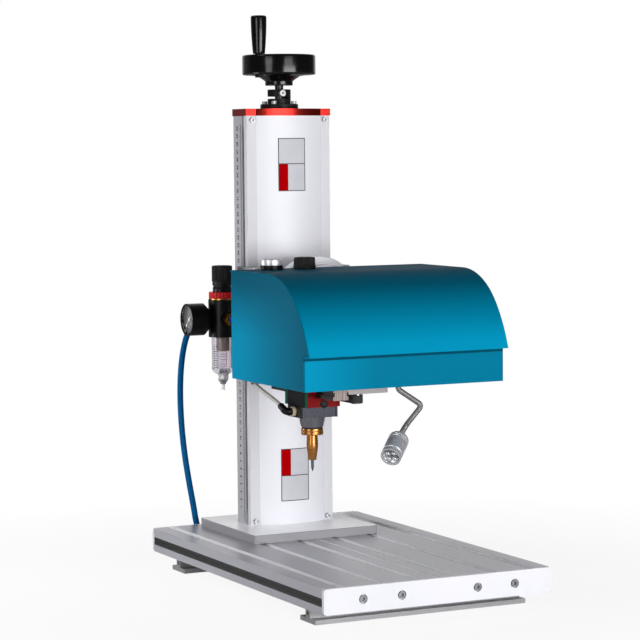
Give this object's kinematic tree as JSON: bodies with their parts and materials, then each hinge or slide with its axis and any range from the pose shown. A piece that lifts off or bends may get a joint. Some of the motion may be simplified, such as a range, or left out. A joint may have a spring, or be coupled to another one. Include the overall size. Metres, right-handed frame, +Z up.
{
  "type": "pneumatic marking machine",
  "caption": "Bench-top dot-marking machine: slotted table, column with handwheel lift, and a curved swivelling head that carries a stylus, a work lamp and an air unit.",
  "frame": {"origin": "on the floor under the middle of the work table", "axes": "+Z up, +X to the right, +Y to the rear, where the column stands"},
  "size_m": [0.3, 0.653, 0.716],
  "materials": {
    "table_aluminium": "anodised extrusion, fine lines along its length",
    "plate_white": "satin white powder coat",
    "foot_aluminium": "mill-finished extrusion",
    "column_silver": "anodised extrusion",
    "cap_red": "anodised red, satin",
    "screw_steel": "turned steel",
    "screw_black": "black oxide",
    "wheel_black": "polished black phenolic",
    "carriage_aluminium": "machined and bead blasted",
    "head_blue": "satin blue-green powder coat",
    "frame_aluminium": "milled",
    "motor_black": "black laminated case",
    "socket_steel": "plated ring on a black base",
    "knob_black": "moulded",
    "lamp_metal": "dull plated",
    "clear": "clear moulded",
    "belt_black": "fibre-reinforced rubber",
    "block_black": "dark oxide",
    "cap_plastic_red": "moulded",
    "brass": "turned brass",
    "stylus_steel": "ground carbide",
    "fitting_black": "moulded",
    "tube_clear": "translucent tube",
    "nut_red": "moulded",
    "gauge_black": "moulded case",
    "filter_white": "sintered",
    "hose_blue": "polyurethane hose"
  },
  "bodies": {
    "root": {"base_table_left": "table_aluminium", "base_table_right": "table_aluminium", "end_plates": "plate_white", "end_plate_screws": "screw_steel", "foot_rails": "foot_aluminium", "column_foot_plate": "plate_white", "column_body": "column_silver", "column_end_blocks": "frame_aluminium", "column_cap_plate": "cap_red", "front_cover": "plate_white", "column_screws": "screw_steel", "guide_shafts": "screw_steel", "bearing_flange": "screw_black", "clamp_screw": "screw_steel", "regulator_bracket": "brass", "regulator_body": "gauge_black", "regulator_ring_nut": "nut_red", "port_fittings": "brass", "gauge_case": "gauge_black", "gauge_lens": "clear", "filter_element": "filter_white", "filter_bowl": "clear", "drain_nut": "knob_black", "air_hose": "hose_blue", "air_hose_coil": "hose_blue", "hose_connector": "brass"},
    "gauge_needle": {"gauge_needle": "screw_steel"},
    "regulator_knob": {"regulator_knob": "knob_black"},
    "drain_stem": {"drain_stem": "brass"},
    "handwheel": {"handwheel": "wheel_black", "handle_spindle": "screw_steel", "lead_screw": "screw_steel"},
    "handwheel_handle": {"handwheel_handle": "wheel_black"},
    "lift": {"carriage_block": "carriage_aluminium", "carriage_arms": "carriage_aluminium", "swivel_disc": "plate_white"},
    "head": {"head_hub": "frame_aluminium", "head_frame": "frame_aluminium", "head_cover": "head_blue", "x_rails": "screw_steel", "x_motor": "motor_black", "signal_socket": "socket_steel"},
    "air_flow_knob": {"air_flow_knob": "knob_black"},
    "lamp": {"lamp_neck": "lamp_metal", "lamp_body": "lamp_metal", "lamp_lens": "clear"},
    "x_screw": {"x_screw": "screw_steel"},
    "x_carriage": {"y_beam": "frame_aluminium", "y_rail": "block_black", "y_motor": "motor_black", "y_belt": "belt_black"},
    "y_pulley_front": {"y_pulley_front": "frame_aluminium"},
    "y_pulley_rear": {"y_pulley_rear": "frame_aluminium"},
    "y_carriage": {"guide_block": "block_black", "guide_end_caps": "cap_plastic_red", "stylus_holder": "frame_aluminium", "stylus_nozzle": "brass", "elbow_fitting": "fitting_black", "air_tube": "tube_clear"},
    "stylus_pin": {"stylus_pin": "stylus_steel"}
  },
  "joints": [
    {"name": "handwheel_turn", "type": "hinge", "parent": "root", "child": "handwheel", "pos_m": [0, 0.167, 0.65], "axis": [0, 0, 1], "range_deg": [-11885, 5765]},
    {"name": "handle_spin", "type": "hinge", "parent": "handwheel", "child": "handwheel_handle", "pos_m": [-0.03383, 0.15469, 0.69], "axis": [0, 0, 1], "continuous": true},
    {"name": "head_lift", "type": "slide", "parent": "root", "child": "lift", "axis": [0, 0, 1], "range_m": [-0.08, 0.165]},
    {"name": "head_tilt", "type": "hinge", "parent": "lift", "child": "head", "pos_m": [0, 0.08, 0.3495], "axis": [0, 1, 0], "range_deg": [-30, 30]},
    {"name": "x_slide", "type": "slide", "parent": "head", "child": "x_carriage", "axis": [1, 0, 0], "range_m": [-0.004, 0.136]},
    {"name": "x_screw_turn", "type": "hinge", "parent": "head", "child": "x_screw", "pos_m": [0, 0.0004, 0.345], "axis": [1, 0, 0], "range_deg": [-185, 6125]},
    {"name": "y_slide", "type": "slide", "parent": "x_carriage", "child": "y_carriage", "axis": [0, 1, 0], "range_m": [-0.034, 0.061], "deforming": ["air_tube"]},
    {"name": "y_front_pulley_turn", "type": "hinge", "parent": "x_carriage", "child": "y_pulley_front", "pos_m": [-0.0442, -0.1312, 0.2485], "axis": [0, 0, 1], "range_deg": [-510, 290]},
    {"name": "y_rear_pulley_turn", "type": "hinge", "parent": "x_carriage", "child": "y_pulley_rear", "pos_m": [-0.0442, -0.026, 0.2485], "axis": [0, 0, 1], "range_deg": [-510, 290]},
    {"name": "stylus_strike", "type": "slide", "parent": "y_carriage", "child": "stylus_pin", "axis": [0, 0, -1], "range_m": [0, 0.005], "stiffness_N_per_m": 300, "springref_m": -0.002},
    {"name": "lamp_swing", "type": "hinge", "parent": "head", "child": "lamp", "pos_m": [-0.0065, -0.1652, 0.265], "axis": [0, 0, 1], "range_deg": [-30, 30]},
    {"name": "air_flow_turn", "type": "hinge", "parent": "head", "child": "air_flow_knob", "pos_m": [-0.0429, 0.0088, 0.4], "axis": [0, 0, 1], "range_deg": [0, 300]},
    {"name": "pressure_turn", "type": "hinge", "parent": "root", "child": "regulator_knob", "pos_m": [-0.088, 0.1578, 0.38], "axis": [0, 0, 1], "range_deg": [-720, 720]},
    {"name": "needle_turn", "type": "hinge", "parent": "root", "child": "gauge_needle", "pos_m": [-0.134, 0.1578, 0.3285], "axis": [1, 0, 0], "range_deg": [0, 270], "stiffness_Nm_per_rad": 0.0004},
    {"name": "drain_push", "type": "slide", "parent": "root", "child": "drain_stem", "axis": [0, 0, 1], "range_m": [0, 0.003], "stiffness_N_per_m": 150, "springref_m": -0.002}
  ],
  "couplings": [
    {"joint": "handwheel_turn", "follows": "head_lift", "rad_per_m": -1256.6},
    {"joint": "x_screw_turn", "follows": "x_slide", "rad_per_m": 785.4},
    {"joint": "y_front_pulley_turn", "follows": "y_slide", "rad_per_m": -144.93},
    {"joint": "y_rear_pulley_turn", "follows": "y_slide", "rad_per_m": -144.93}
  ]
}
